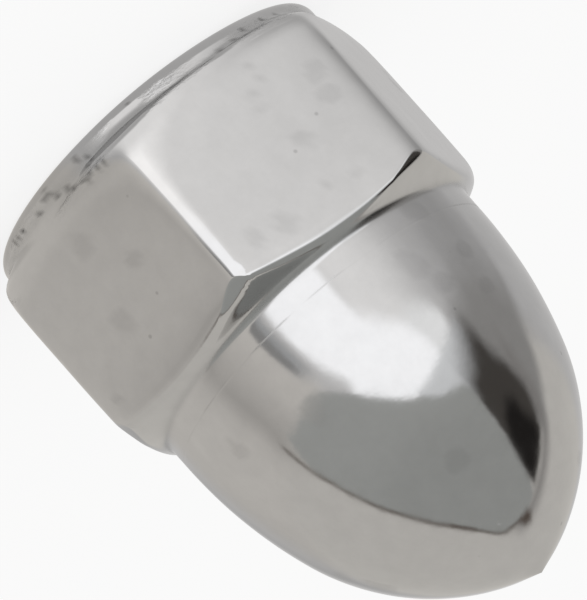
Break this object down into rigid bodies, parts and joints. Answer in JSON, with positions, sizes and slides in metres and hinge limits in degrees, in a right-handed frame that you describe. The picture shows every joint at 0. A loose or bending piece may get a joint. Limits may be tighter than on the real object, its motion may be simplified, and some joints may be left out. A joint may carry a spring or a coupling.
{
  "type": "cap nut",
  "caption": "High-crown cap nut in bright chrome: hexagon body with a turned washer face, a short neck and a bullet-shaped dome over a blind threaded hole.",
  "frame": {"origin": "centre of the bearing face, on the hole's axis", "axes": "+Z along the hole's axis to the dome's point; two opposite corners of the hexagon lie on +X and -X and two flats face +Y and -Y"},
  "size_m": [0.0162, 0.0142, 0.0205],
  "materials": {
    "chrome_plate": "bright chrome plate over buffed steel, with soft edges and light spotting"
  },
  "bodies": {
    "root": {"cap_nut": "chrome_plate"}
  },
  "joints": []
}
